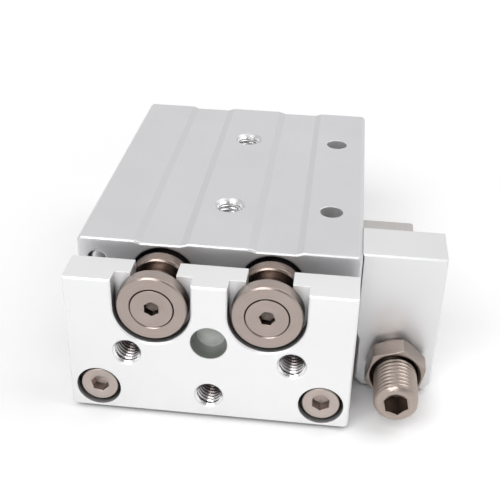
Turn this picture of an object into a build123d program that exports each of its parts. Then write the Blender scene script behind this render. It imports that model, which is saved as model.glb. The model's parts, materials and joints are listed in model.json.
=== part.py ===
# Slide table cylinder: two pistons pull and push an end plate with a table on crossed rollers.
# Millimetres. The origin is the centre of the table's face. +Z points up through the cylinder
# body, which lies over the table, and the table moves out along -Y.
import os
from math import sqrt

from build123d import *

# Stroke and the two cylinders
stroke = 20.0
bore_d = 12.0
rod_d = 6.0
rod_pitch = 20.0
rod_depth = 7.1            # rod axis below the body's mounting face

# Cylinder body
overall_height = 30.0      # table face to the body's mounting face
body_width = 51.2
body_length = 65.2
body_lift = 0.5            # body above the table
front_gap = 3.6            # end plate to body, table drawn in
land_half = 5.4            # middle land of the mounting face
channel_inner = 6.8
channel_outer = 14.0
outer_land = 15.2
channel_depth = 0.45
body_edge = 0.6
edge_break = 0.3

# Holes in the mounting face
mount_first = 16.1         # first pair of holes behind the body's front
mount_pitch = 31.7
mount_tap_d = 5.0
mount_tap_depth = 7.0
mount_tap_mouth_d = 5.9
through_x = 19.5
through_d = 4.4
through_head_d = 7.6       # counterbore for the head, in the table side
through_head_depth = 4.4

# Table
table_width = 50.4
table_length = 67.5
table_height = 11.9
table_base = 3.0
table_wall = 11.0
table_edge = 0.4
access_d = 7.8             # lets a screw and its key reach the through holes
table_tap_d = 5.0
table_tap_depth = 6.0
table_tap_spacing_x = 35.0
table_tap_spacing_y = 50.0

# Crossed roller guide
roller_d = 2.5
roller_play = 0.03
roller_length = 2.3
roller_pitch = 4.0
roller_count = 10
roller_z = 7.5             # roller centres above the table's face
rail_gap = 0.9
rail_width = 4.6
rail_top_gap = 0.9         # rail top to the body
rail_inset = 1.5           # rail ends inside the table's ends
groove_relief = 0.4
cage_thickness = 0.5
cage_height = 4.6
cage_margin = 3.0          # strip left beyond the last roller
cage_window_play = 0.1
cage_offset = 5.0          # cages stand this far back with the table drawn in
guide_width = 17.0
guide_length = 58.0
guide_floor_gap = 0.5      # guide block to the table's base
guide_seat_depth = 1.0     # locating channel in the body
guide_screw_pitch = 22.0
guide_screw_length = 10.0
guide_screw_sink = 3.3
guide_tap_depth = 5.0
guide_setback = 3.3        # guide block behind the body's front
stop_thickness = 0.8
stop_side_gap = 0.3
stop_edge_gap = 0.5
stop_screw_length = 4.0

# End plate
plate_width = 50.6
plate_height = 27.7
plate_thickness = 7.5
plate_lift = 0.7           # plate above the table's face
plate_corner = 1.0
slot_wide = 13.7           # front pocket for the bushing's flange
slot_narrow = 8.0          # rear slot for its neck
slot_step = 3.0            # depth of the front pocket
slot_drop = 0.1            # slot centres below the rod axis
plate_screw_x = 20.15
plate_screw_z = 5.35
plate_screw_sink = 4.5
plate_screw_length = 8.0
plate_sink_play = 0.6
plate_tap_depth = 6.5      # in the table's front end
plate_tap_d = 5.0
plate_tap_mouth_d = 5.4
plate_tap_x = 14.65
plate_tap_z = 13.5
plate_low_tap_z = 5.4
bumper_z = 16.9
bumper_hole_d = 6.6
bumper_step_d = 8.6
bumper_step_depth = 2.0
bumper_recess = 0.1
bumper_cup_d = 5.4
bumper_cup_depth = 1.6
bumper_cup_edge = 0.4
bumper_rest_gap = 0.3

# Floating rod ends
flange_d = 12.6
flange_recess = 0.3
flange_seat_play = 0.05
neck_d = 7.5
collar_d = 11.3
collar_length = 2.5
rim = 0.3                  # small turned edges
rod_screw_d = 4.0
rod_screw_head_d = 7.8
rod_screw_length = 12.0
rod_screw_socket = 2.5
rod_screw_turn = 12.0      # degrees, as tightened
head_play = 0.15

# Inside the cylinders
ring_setback = 0.7         # retaining ring behind the body's face
ring_thickness = 0.8
ring_groove_play = 0.05
ring_groove_depth = 0.35
ring_width = 1.05
ring_opening = 6.3
lug_r = 0.8
cover_length = 8.0
cover_play = 0.03
cover_oring_setback = 2.0
seal_wall = 1.2            # rod cover left round its seal
seal_length = 2.8
seal_seat_length = 3.2
seal_lip_depth = 1.4
seal_lip_half = 0.3
bumper_ring_thickness = 2.0
bumper_ring_side_gap = 0.5
bumper_ring_rod_gap = 0.6
piston_length = 15.0
piston_play = 0.08
piston_spigot_d = 4.0
piston_edge = 0.5
magnet_setback = 3.0
magnet_depth = 1.8
magnet_width = 3.4
magnet_sink = 0.2
seal_setback = 9.5
seal_depth = 1.9
seal_width = 2.6
seal_lip = 0.4
slip = 0.05                # sides of rings in their grooves
seal_play = 0.02
end_clearance = 0.3        # left at both ends of the stroke
rear_chamber = 6.4         # piston to head cap, table drawn in
head_cap_length = 8.0
cap_oring_setback = 2.2
cap_pull_d = 4.0           # blind hole for drawing the cap out
cap_pull_depth = 5.0
oring_section = 0.9
oring_groove_width = 1.3
oring_groove_depth = 0.95

# Air ports and passages
port_d = 5.0
port_depth = 5.5
port_feed_d = 2.5
rear_feed_d = 3.0          # from the rear face to the rear port
front_port_z = 24.0
rear_port_z = 20.6
passage_x = 22.06
passage_z = 25.6
passage_d = 2.2
ball_d = 3.5
ball_setback = 0.5
plug_length = 4.0
plug_recess = 0.3
plug_socket = 2.5
switch_groove_z = 16.0
switch_groove_d = 4.0
switch_groove_mouth = 2.8
switch_groove_lip = 1.0

# Stroke adjuster
block_width = 15.0
block_thickness = 10.0
block_setback = 2.1        # behind the body's front
block_drop = 0.5           # block top below the body's mounting face
block_lift = 0.45
block_relief = 0.6         # lower part stands back from the table's side
block_ramp = 1.4           # height over which the relief runs out
block_corner = 1.5
adjuster_x = 33.3
adjuster_z = 7.3
adjuster_d = 8.0
thread_play = 0.05
adjuster_length = 23.4
adjuster_front = -0.4      # bolt end stands just in front of the end plate
adjuster_chamfer = 0.8
adjuster_socket = 4.0
adjuster_socket_depth = 5.0
tip_d = 5.0
tip_depth = 3.0
tip_reach = 1.2
nut_across_flats = 10.0
nut_thickness = 4.2
nut_mouth_d = 8.9
nut_turn = 18.0            # degrees, as tightened
nut_rim_share = 0.6
block_screw_low = 17.5
block_screw_high = 25.4
block_screw_length = 18.0
block_tap_depth = 8.0
stopper_width = 12.8
stopper_length = 14.0
stopper_top = 12.0
stopper_lift = 0.6
stopper_edge = 0.5
stopper_screws = ((-3.6, 9.0), (1.4, 4.0))   # along Y from its middle, and height
stopper_screw_length = 15.0
stopper_tap_depth = 6.5

# Screws: thread, head diameter, head height, socket width
M2 = (2.0, 3.8, 1.3, 1.3)
M3 = (3.0, 5.5, 3.0, 2.5)
M4_LOW = (4.0, 6.9, 4.0, 3.0)
M4 = (4.0, 7.0, 4.0, 3.0)
socket_share = 0.55
flat_socket_share = 0.75
shank_play = 0.2
counterbore_play = 0.25
rail_screw_d = 2.5
rail_screw_head_d = 4.7
rail_screw_length = 6.0
rail_screw_socket = 1.5
rail_screw_count = 4
rail_screw_end = 5.0
rail_screw_x = 11.9
head_sink = 0.4            # heads below the face they are sunk into
drill_extra = 1.0

# Places that follow from the sizes above
table_front = -table_length / 2
table_rear = table_length / 2
plate_front = table_front - plate_thickness
body_front = table_front + front_gap
body_rear = body_front + body_length
body_bottom = table_height + body_lift
rod_z = overall_height - rod_depth
bore_r = bore_d / 2
sides = {"left": -1, "right": 1}

cover_front = body_front + ring_setback + ring_thickness + 2 * ring_groove_play
cover_rear = cover_front + cover_length
ring_bumper_rear = cover_rear + bumper_ring_thickness
piston_front = ring_bumper_rear + stroke + end_clearance
piston_rear = piston_front + piston_length
cap_front = piston_rear + rear_chamber
cap_rear = cap_front + head_cap_length
front_port_y = cover_rear + bumper_ring_thickness / 2
rear_port_y = (piston_rear + cap_front) / 2
collar_front = table_front + flange_seat_play
collar_rear = collar_front + collar_length

mount_ys = (body_front + mount_first, body_front + mount_first + mount_pitch)
roller_x = guide_width / 2 + rail_gap / 2
rail_face = roller_x + rail_gap / 2
rail_outer = rail_face + rail_width
rail_top = body_bottom - rail_top_gap
channel_half = table_width / 2 - table_wall
groove_reach = roller_d / 2 * sqrt(2)
groove_half = groove_reach - rail_gap / 2
guide_middle = body_front + guide_setback + guide_length / 2
guide_bottom = table_base + guide_floor_gap
guide_top = body_bottom + guide_seat_depth
cage_middle = guide_middle + cage_offset
cage_length = roller_pitch * (roller_count - 1) + roller_d + 2 * cage_margin

block_front = body_front + block_setback
block_rear = block_front + block_thickness
block_middle = (block_front + block_rear) / 2
block_inner = body_width / 2
block_outer = block_inner + block_width
block_top = overall_height - block_drop
bolt_front = plate_front + adjuster_front
bolt_rear = bolt_front + adjuster_length
stopper_front = bolt_rear + tip_reach + stroke + end_clearance
stopper_middle = stopper_front + stopper_length / 2


# Basic shapes

def box(x0, x1, y0, y1, z0, z1):
    size = Box(x1 - x0, y1 - y0, z1 - z0)
    return Pos((x0 + x1) / 2, (y0 + y1) / 2, (z0 + z1) / 2) * size


def rod_along_y(radius, y0, y1, x, z):
    return Pos(x, (y0 + y1) / 2, z) * Rot(90, 0, 0) * Cylinder(radius, y1 - y0)


def rod_along_x(radius, x0, x1, y, z):
    return Pos((x0 + x1) / 2, y, z) * Rot(0, 90, 0) * Cylinder(radius, x1 - x0)


def rod_along_z(radius, z0, z1, x, y):
    return Pos(x, y, (z0 + z1) / 2) * Cylinder(radius, z1 - z0)


def turned(points, x=0.0, z=0.0):
    """A lathe-turned piece: (radius, y) points spun about a line along Y."""
    return Pos(x, 0, z) * revolve(make_face(Polyline(*points, close=True)), Axis.Y)


def extruded(points, y0, y1):
    """An (x, z) outline drawn out along Y."""
    outline = Plane.XZ * make_face(Polyline(*points, close=True))
    return Pos(0, y0, 0) * extrude(outline, amount=-(y1 - y0))


def hexagon(across_flats, height):
    shape = RegularPolygon(across_flats / 2, 6, major_radius=False)
    return extrude(shape, amount=height)


def mirrored(points):
    """An outline given for +X, completed on the other side."""
    return list(points) + [(-x, z) for x, z in reversed(points)]


# Screws stand with the head's underside at Z 0 and the thread pointing down

def cap_screw(kind, length):
    thread_d, head_d, head_height, socket = kind
    head = Pos(0, 0, head_height / 2) * Cylinder(head_d / 2, head_height)
    head = chamfer(head.edges().filter_by(GeomType.CIRCLE).group_by(Axis.Z)[-1], head_d * 0.05)
    shank = Pos(0, 0, -length / 2) * Cylinder(thread_d / 2, length)
    shank = chamfer(shank.edges().group_by(Axis.Z)[0], thread_d * 0.1)
    recess = head_height * socket_share
    return head + shank - Pos(0, 0, head_height - recess) * hexagon(socket, head_height)


def flat_screw(thread_d, head_d, length, socket):
    """A countersunk screw, with its flat head level with Z 0."""
    cone = (head_d - thread_d) / 2
    outline = Plane.XZ * make_face(Polyline(
        (0, 0), (head_d / 2, 0), (thread_d / 2, -cone), (thread_d / 2, -length), (0, -length), close=True))
    recess = cone * flat_socket_share
    return revolve(outline, Axis.Z) - Pos(0, 0, -recess) * hexagon(socket, length)


def head_forward(y, x, z):
    return Pos(x, y, z) * Rot(90, 0, 0)


def head_right(x, y, z):
    return Pos(x, y, z) * Rot(0, 90, 0)


def head_down(z, x, y):
    return Pos(x, y, z) * Rot(180, 0, 0)


# Cylinder body

def body_outline():
    half = body_width / 2
    return mirrored([
        (land_half, overall_height), (channel_inner, overall_height - channel_depth),
        (channel_outer, overall_height - channel_depth), (outer_land, overall_height),
        (half - body_edge, overall_height), (half, overall_height - body_edge),
        (half, body_bottom + edge_break), (half - edge_break, body_bottom),
        (guide_width / 2 + cover_play, body_bottom), (guide_width / 2 + cover_play, guide_top)])


def tapped_from_top(x, y):
    mouth = (mount_tap_mouth_d - mount_tap_d) / 2
    bottom = overall_height - mount_tap_depth
    hole = rod_along_z(mount_tap_d / 2, bottom, overall_height, x, y)
    drill_end = Pos(x, y, bottom - mount_tap_d / 8) * Cone(0.01, mount_tap_d / 2, mount_tap_d / 4)
    sink = Pos(x, y, overall_height - mouth / 2) * Cone(mount_tap_d / 2, mount_tap_mouth_d / 2, mouth)
    return hole + drill_end + sink


def through_hole(x, y):
    hole = rod_along_z(through_d / 2, body_bottom, overall_height, x, y)
    head = rod_along_z(through_head_d / 2, body_bottom, body_bottom + through_head_depth, x, y)
    return hole + head


def cylinder_bore(x):
    bore = rod_along_y(bore_r, body_front, body_rear, x, rod_z)
    groove_r = bore_r + ring_groove_depth
    groove_width = ring_thickness + 2 * ring_groove_play
    front = body_front + ring_setback
    front_groove = rod_along_y(groove_r, front, front + groove_width, x, rod_z)
    rear_groove = rod_along_y(groove_r, cap_rear, cap_rear + groove_width, x, rod_z)
    return bore + front_groove + rear_groove


def side_port(y, z):
    """A threaded port in the left side, drilled on through both cylinders."""
    left = -body_width / 2
    thread = rod_along_x(port_d / 2, left, left + port_depth, y, z)
    feed = rod_along_x(port_feed_d / 2, left, rod_pitch / 2, y, z)
    return thread + feed


def switch_groove():
    left = -body_width / 2
    centre = left + switch_groove_lip + switch_groove_d / 2
    round_part = rod_along_y(switch_groove_d / 2, body_front, body_rear, centre, switch_groove_z)
    half = switch_groove_mouth / 2
    mouth = box(left, centre, body_front, body_rear, switch_groove_z - half, switch_groove_z + half)
    return round_part + mouth


def cylinder_body():
    body = extruded(body_outline(), body_front, body_rear)
    rims = body.faces().filter_by(Axis.Y)
    body = chamfer([edge for face in rims for edge in face.outer_wire().edges()], edge_break)
    for side in sides.values():
        body -= cylinder_bore(side * rod_pitch / 2)
    for y in mount_ys:
        body -= tapped_from_top(0, y)
        body -= through_hole(through_x, y)
    for y, z in ((front_port_y, front_port_z), (rear_port_y, rear_port_z)):
        body -= side_port(y, z)
    body -= rod_along_y(passage_d / 2, body_front, body_rear, -passage_x, passage_z)
    ball_seat = body_front + ball_setback + ball_d
    body -= rod_along_y(ball_d / 2, body_front, ball_seat, -passage_x, passage_z)
    rear_thread = body_rear - port_depth
    body -= rod_along_y(port_d / 2, rear_thread, body_rear, -passage_x, passage_z)
    body -= rod_along_y(port_d / 2, rear_thread, body_rear, 0, rear_port_z)
    body -= rod_along_y(rear_feed_d / 2, rear_port_y, body_rear, 0, rear_port_z)
    body -= switch_groove()
    for z in (block_screw_low, block_screw_high):
        body -= rod_along_x(M4[0] / 2, block_inner - block_tap_depth, block_inner, block_middle, z)
    for y in guide_screw_ys():
        body -= rod_along_z(M3[0] / 2, guide_top, guide_top + guide_tap_depth, 0, y)
    return body


def passage_ball():
    radius = ball_d / 2
    return Pos(-passage_x, body_front + ball_setback + radius, passage_z) * Sphere(radius)


def rear_port_plugs():
    plugs = []
    for x, z in ((-passage_x, passage_z), (0, rear_port_z)):
        rear = body_rear - plug_recess
        plug = rod_along_y(port_d / 2, rear - plug_length, rear, x, z)
        socket = Pos(x, rear, z) * Rot(90, 0, 0) * hexagon(plug_socket, plug_length / 2)
        plugs.append(plug - socket)
    return plugs


# What fills one cylinder, on an axis at x

def retaining_ring(x, y):
    """An open spring ring in its groove, with two lugs beside the gap."""
    outer = bore_r + ring_groove_depth - ring_groove_play
    inner = outer - ring_width
    ring = Cylinder(outer, ring_thickness) - Cylinder(inner, ring_thickness)
    ring -= Pos(0, -outer, 0) * Box(ring_opening, outer, ring_thickness)
    lug_x = (ring_opening + lug_r) / 2
    lug_y = sqrt((bore_r - lug_r - slip) ** 2 - lug_x ** 2)
    for side in sides.values():
        ring += Pos(side * lug_x, -lug_y, 0) * Cylinder(lug_r, ring_thickness)
    return Pos(x, y + ring_thickness / 2, rod_z) * Rot(90, 0, 0) * ring


def groove_points(outer, y, depth, width):
    return [(outer, y), (outer - depth, y), (outer - depth, y + width), (outer, y + width)]


def rod_cover(x):
    outer = bore_r - cover_play
    bore = rod_d / 2 + thread_play
    seal_r = bore_r - seal_wall
    seal_y = cover_rear - seal_seat_length
    points = [(bore, cover_front), (outer - rim, cover_front), (outer, cover_front + rim)]
    points += groove_points(outer, cover_front + cover_oring_setback, oring_groove_depth, oring_groove_width)
    points += [(outer, cover_rear), (seal_r, cover_rear), (seal_r, seal_y), (bore, seal_y)]
    return turned(points, x, rod_z)


def oring(outer, y, x):
    """A round section ring, with its outside at the given radius."""
    half = oring_section / 2
    section = Pos(outer - half, y) * RegularPolygon(half, 8)
    return Pos(x, 0, rod_z) * revolve(section, Axis.Y)


def cover_oring(x):
    return oring(bore_r - seal_play, cover_front + cover_oring_setback + oring_groove_width / 2, x)


def rod_seal(x):
    inner = rod_d / 2 + seal_play
    outer = bore_r - seal_wall - seal_play
    rear = cover_rear - (seal_seat_length - seal_length) / 2
    front = rear - seal_length
    middle = (inner + outer) / 2
    points = [(inner, front), (outer, front), (outer, rear), (middle + seal_lip_half, rear),
              (middle, rear - seal_lip_depth), (middle - seal_lip_half, rear), (inner, rear)]
    return turned(points, x, rod_z)


def rod_bumper(x):
    inner = rod_d / 2 + bumper_ring_rod_gap
    outer = bore_r - bumper_ring_side_gap
    points = [(inner, cover_rear), (outer, cover_rear), (outer, ring_bumper_rear - rim),
              (outer - rim, ring_bumper_rear), (inner, ring_bumper_rear)]
    return turned(points, x, rod_z)


def piston_rod(x):
    r = rod_d / 2
    collar_r = collar_d / 2
    spigot_r = piston_spigot_d / 2
    tap_r = rod_screw_d / 2
    tap_end = plate_front + flange_recess + rod_screw_length + drill_extra
    points = [(tap_r, collar_front), (collar_r - rim, collar_front), (collar_r, collar_front + rim),
              (collar_r, collar_rear), (r, collar_rear), (r, piston_front), (spigot_r, piston_front),
              (spigot_r, piston_rear), (0, piston_rear), (0, tap_end), (tap_r, tap_end)]
    return turned(points, x, rod_z)


def piston(x):
    outer = bore_r - piston_play
    bore = piston_spigot_d / 2
    edge = piston_edge
    points = [(bore, piston_front), (outer - edge, piston_front), (outer, piston_front + edge)]
    points += groove_points(outer, piston_front + magnet_setback, magnet_depth, magnet_width)
    points += groove_points(outer, piston_front + seal_setback, seal_depth, seal_width)
    points += [(outer, piston_rear - edge), (outer - edge, piston_rear), (bore, piston_rear)]
    return turned(points, x, rod_z)


def piston_magnet(x):
    outer = bore_r - piston_play - magnet_sink
    inner = bore_r - piston_play - magnet_depth
    front = piston_front + magnet_setback + slip
    rear = front + magnet_width - 2 * slip
    points = [(inner, front), (outer, front), (outer, rear), (inner, rear)]
    return turned(points, x, rod_z)


def piston_seal(x):
    lip = bore_r - seal_play
    inner = bore_r - piston_play - seal_depth
    waist = lip - seal_lip
    front = piston_front + seal_setback + slip
    rear = front + seal_width - 2 * slip
    middle = (front + rear) / 2
    points = [(inner, front), (waist, front), (lip, front + seal_lip), (waist, middle - slip),
              (waist, middle + slip), (lip, rear - seal_lip), (waist, rear), (inner, rear)]
    return turned(points, x, rod_z)


def head_cap(x):
    outer = bore_r - cover_play
    pull_r = cap_pull_d / 2
    pull_end = cap_rear - cap_pull_depth
    points = [(0, cap_front), (outer - rim, cap_front), (outer, cap_front + rim)]
    points += groove_points(outer, cap_front + cap_oring_setback, oring_groove_depth, oring_groove_width)
    points += [(outer, cap_rear), (pull_r, cap_rear), (pull_r, pull_end), (0, pull_end)]
    return turned(points, x, rod_z)


def head_cap_oring(x):
    return oring(bore_r - seal_play, cap_front + cap_oring_setback + oring_groove_width / 2, x)


# End plate and the floating rod ends

def slot_cutter(width, x, y0, y1):
    """A U-shaped slot that is open at the plate's top."""
    centre_z = rod_z - slot_drop
    round_part = rod_along_y(width / 2, y0, y1, x, centre_z)
    half = width / 2
    return round_part + box(x - half, x + half, y0, y1, centre_z, overall_height)


def counterbored_from_front(x, z, kind):
    head = rod_along_y(kind[1] / 2 + plate_sink_play, plate_front, plate_front + plate_screw_sink, x, z)
    return head + rod_along_y(kind[0] / 2 + shank_play, plate_front, table_front, x, z)


def tapped_plate_hole(x, z):
    mouth = (plate_tap_mouth_d - plate_tap_d) / 2
    hole = rod_along_y(plate_tap_d / 2, plate_front, table_front, x, z)
    sink = Pos(x, plate_front + mouth / 2, z) * Rot(-90, 0, 0) * Cone(
        plate_tap_mouth_d / 2, plate_tap_d / 2, mouth)
    return hole + sink


def end_plate():
    plate = box(-plate_width / 2, plate_width / 2, plate_front, table_front,
                plate_lift, plate_lift + plate_height)
    lower = plate.edges().filter_by(Axis.Y).group_by(Axis.Z)[0]
    plate = fillet(lower, plate_corner)
    for side in sides.values():
        x = side * rod_pitch / 2
        plate -= slot_cutter(slot_wide, x, plate_front, plate_front + slot_step)
        plate -= slot_cutter(slot_narrow, x, plate_front, table_front)
    faces = [plate.faces().sort_by(Axis.Y)[0], plate.faces().sort_by(Axis.Y)[-1]]
    plate = chamfer([edge for face in faces for edge in face.outer_wire().edges()], edge_break)
    for side in sides.values():
        plate -= counterbored_from_front(side * plate_screw_x, plate_screw_z, M4_LOW)
        plate -= tapped_plate_hole(side * plate_tap_x, plate_tap_z)
    plate -= tapped_plate_hole(0, plate_low_tap_z)
    plate -= rod_along_y(bumper_hole_d / 2, plate_front, table_front, 0, bumper_z)
    plate -= rod_along_y(bumper_step_d / 2, table_front - bumper_step_depth, table_front, 0, bumper_z)
    return plate


def end_plate_screws():
    seat = plate_front + plate_screw_sink
    screw = cap_screw(M4_LOW, plate_screw_length)
    return [head_forward(seat, side * plate_screw_x, plate_screw_z) * screw
            for side in sides.values()]


def end_bumper():
    """The soft stop that meets the body as the table comes in, cupped in front."""
    front_r = bumper_hole_d / 2 - slip
    step_r = bumper_step_d / 2 - slip
    step_y = table_front - bumper_step_depth
    rear = body_front - bumper_rest_gap
    front = plate_front + bumper_recess
    cup_r = bumper_cup_d / 2
    cup_floor = front + bumper_cup_depth
    points = [(0, cup_floor), (cup_r - bumper_cup_edge, cup_floor), (cup_r, cup_floor - bumper_cup_edge),
              (cup_r, front), (front_r, front), (front_r, step_y), (step_r, step_y),
              (step_r, rear - rim), (step_r - rim, rear), (0, rear)]
    return turned(points, 0, bumper_z)


def floating_bushing(x):
    """A flange in the plate's pocket, with a neck through its slot to the rod."""
    front = plate_front + flange_recess
    flange_rear = plate_front + slot_step - flange_seat_play
    outer = flange_d / 2
    sink_r = rod_screw_head_d / 2 + head_play
    hole_r = rod_screw_d / 2 + shank_play
    points = [(sink_r, front), (outer - rim, front), (outer, front + rim), (outer, flange_rear),
              (neck_d / 2, flange_rear), (neck_d / 2, collar_front), (hole_r, collar_front),
              (hole_r, front + sink_r - hole_r)]
    return turned(points, x, rod_z)


def rod_end_screw(x, turn):
    screw = flat_screw(rod_screw_d, rod_screw_head_d, rod_screw_length, rod_screw_socket)
    return head_forward(plate_front + flange_recess, x, rod_z) * Rot(0, 0, turn) * screw


# Table and its roller guide

def table_plate():
    half = table_width / 2
    table = extruded(mirrored([
        (channel_half, table_base), (channel_half, table_height), (half - table_edge, table_height),
        (half, table_height - table_edge), (half, table_edge), (half - table_edge, 0)]),
        table_front, table_rear)
    for y in mount_ys:
        table -= rod_along_z(access_d / 2, 0, table_height, through_x, y)
    for side in sides.values():
        x = side * plate_screw_x
        table -= rod_along_y(M4[0] / 2, table_front, table_front + plate_tap_depth, x, plate_screw_z)
        for end in (-1, 1):
            x = side * table_tap_spacing_x / 2
            y = end * table_tap_spacing_y / 2
            table -= rod_along_z(table_tap_d / 2, 0, table_tap_depth, x, y)
        for y in rail_screw_ys():
            table -= rail_screw_sink(side * rail_screw_x, y)
    for along, z in stopper_screws:
        table -= rod_along_x(M3[0] / 2, half - stopper_tap_depth, half, stopper_middle + along, z)
    return table


def rail_screw_ys():
    span = table_length - 2 * rail_inset - 2 * rail_screw_end
    pitch = span / (rail_screw_count - 1)
    return [-span / 2 + i * pitch for i in range(rail_screw_count)]


def rail_screw_sink(x, y):
    head_r = rail_screw_head_d / 2 + slip
    depth = head_r - rail_screw_d / 2
    cone = Pos(x, y, depth / 2) * Cone(head_r, rail_screw_d / 2, depth)
    return cone + rod_along_z(rail_screw_d / 2, 0, table_base, x, y)


def rail_screws():
    screw = flat_screw(rail_screw_d, rail_screw_head_d, rail_screw_length, rail_screw_socket)
    return [head_down(slip, side * rail_screw_x, y) * screw
            for side in sides.values() for y in rail_screw_ys()]


def groove_corners(face, direction):
    """A V groove with a narrow relief at its root, cut into a face and listed upwards."""
    root = face + direction * groove_half
    relief = groove_relief / 2
    deep = root + direction * relief / 2
    near = root - direction * relief
    return [(face, roller_z - groove_half), (near, roller_z - relief), (deep, roller_z - relief),
            (deep, roller_z + relief), (near, roller_z + relief), (face, roller_z + groove_half)]


def guide_rail(side):
    points = [(rail_outer, rail_top), (rail_outer, table_base), (rail_face, table_base)]
    points += groove_corners(rail_face, 1)
    points += [(rail_face, rail_top)]
    rail = extruded([(side * x, z) for x, z in points], table_front + rail_inset, table_rear - rail_inset)
    for y in rail_screw_ys():
        rail -= rod_along_z(rail_screw_d / 2, table_base, rail_screw_length + slip, side * rail_screw_x, y)
    return rail


def guide_screw_ys():
    return [guide_middle + i * guide_screw_pitch for i in (-1, 0, 1)]


def guide_block():
    half = guide_width / 2
    front = guide_middle - guide_length / 2
    block = extruded(mirrored([(half, guide_bottom)] + groove_corners(half, -1) + [(half, guide_top)]),
                     front, front + guide_length)
    for y in guide_screw_ys():
        block -= rod_along_z(M3[0] / 2 + shank_play, guide_bottom, guide_top, 0, y)
        seat = guide_bottom + guide_screw_sink
        block -= rod_along_z(M3[1] / 2 + counterbore_play, guide_bottom, seat, 0, y)
    for end in (-1, 1):
        y = guide_middle + end * (guide_length - stop_screw_length) / 2
        block -= rod_along_y(M2[0] / 2, y - stop_screw_length / 2, y + stop_screw_length / 2, 0, roller_z)
    return block


def guide_block_screws():
    seat = guide_bottom + guide_screw_sink
    return [head_down(seat, 0, y) * cap_screw(M3, guide_screw_length) for y in guide_screw_ys()]


def cage_stop(end):
    """A thin plate on one end of the guide block that keeps both cages in."""
    half = rail_face - stop_side_gap
    inner = guide_middle + end * guide_length / 2
    outer = inner + end * stop_thickness
    y0, y1 = sorted((inner, outer))
    plate = box(-half, half, y0, y1, guide_bottom + stop_edge_gap, body_bottom - stop_edge_gap)
    return plate - rod_along_y(M2[0] / 2 + head_play, y0, y1, 0, roller_z)


def cage_stop_screws():
    screws = []
    for end in (-1, 1):
        y = guide_middle + end * (guide_length / 2 + stop_thickness)
        placed = Pos(0, y, roller_z) * Rot(-90 * end, 0, 0)
        screws.append(placed * cap_screw(M2, stop_screw_length))
    return screws


def roller_ys():
    first = cage_middle - roller_pitch * (roller_count - 1) / 2
    return [first + i * roller_pitch for i in range(roller_count)]


def roller_cage(side):
    centre = side * roller_x
    half = cage_thickness / 2
    strip = box(centre - half, centre + half, cage_middle - cage_length / 2,
                cage_middle + cage_length / 2, roller_z - cage_height / 2, roller_z + cage_height / 2)
    window_y = roller_d / 2 + cage_window_play
    window_z = (roller_length / 2) * sqrt(2) + cage_thickness / 2 + cage_window_play
    for y in roller_ys():
        strip -= box(centre - half, centre + half, y - window_y, y + window_y,
                     roller_z - window_z, roller_z + window_z)
    return strip


def crossed_rollers(side):
    """Rollers lean 45 degrees one way and the other, in turn."""
    roller = Cylinder(roller_d / 2 - roller_play, roller_length)
    return [Pos(side * roller_x, y, roller_z) * Rot(0, 45 if i % 2 else -45, 0) * roller
            for i, y in enumerate(roller_ys())]


# Stroke adjuster

def adjuster_block():
    relief_x = block_inner + block_relief
    relief_z = body_bottom
    points = [(block_inner, relief_z), (block_inner, block_top), (block_outer, block_top),
              (block_outer, block_lift + block_corner), (block_outer - block_corner, block_lift),
              (relief_x + block_corner, block_lift), (relief_x, block_lift + block_corner),
              (relief_x, relief_z - block_ramp)]
    block = extruded(points, block_front, block_rear)
    rims = block.faces().filter_by(Axis.Y)
    block = chamfer([edge for face in rims for edge in face.outer_wire().edges()], edge_break)
    block -= rod_along_y(adjuster_d / 2, block_front, block_rear, adjuster_x, adjuster_z)
    for z in (block_screw_low, block_screw_high):
        block -= rod_along_x(M4[0] / 2 + shank_play, block_inner, block_outer, block_middle, z)
        seat = block_outer - M4[2] - head_sink
        block -= rod_along_x(M4[1] / 2 + counterbore_play, seat, block_outer, block_middle, z)
    return block


def adjuster_block_screws():
    seat = block_outer - M4[2] - head_sink
    screw = cap_screw(M4, block_screw_length)
    return [head_right(seat, block_middle, z) * screw for z in (block_screw_low, block_screw_high)]


def adjuster_bolt():
    r = adjuster_d / 2 - thread_play
    c = adjuster_chamfer
    tip_r = tip_d / 2
    points = [(0, bolt_front), (r - c, bolt_front), (r, bolt_front + c), (r, bolt_rear - c),
              (r - c, bolt_rear), (tip_r, bolt_rear), (tip_r, bolt_rear - tip_depth),
              (0, bolt_rear - tip_depth)]
    bolt = turned(points, adjuster_x, adjuster_z)
    socket = Pos(adjuster_x, bolt_front + adjuster_socket_depth, adjuster_z) * Rot(90, 0, 0)
    return bolt - socket * hexagon(adjuster_socket, adjuster_socket_depth)


def adjuster_tip():
    r = tip_d / 2
    front = bolt_rear - tip_depth
    rear = bolt_rear + tip_reach
    points = [(0, front), (r, front), (r, rear - rim), (r - rim, rear), (0, rear)]
    return turned(points, adjuster_x, adjuster_z)


def lock_nut():
    """A hexagon with both rims turned down, and a countersunk bore."""
    front = block_front - nut_thickness
    corner = nut_across_flats / sqrt(3)
    sink = (nut_mouth_d - adjuster_d) / 2
    bore = adjuster_d / 2 + thread_play / 2
    mouth = nut_mouth_d / 2
    flank = nut_across_flats / 2
    slope = (corner - flank) * nut_rim_share
    turned_nut = turned([(bore, front + sink), (mouth, front), (flank, front), (corner, front + slope),
                         (corner, block_front - slope), (flank, block_front), (mouth, block_front),
                         (bore, block_front - sink)], adjuster_x, adjuster_z)
    prism = Pos(adjuster_x, block_front, adjuster_z) * Rot(90, 0, 0) * Rot(0, 0, nut_turn)
    return turned_nut & prism * hexagon(nut_across_flats, nut_thickness)


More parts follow.
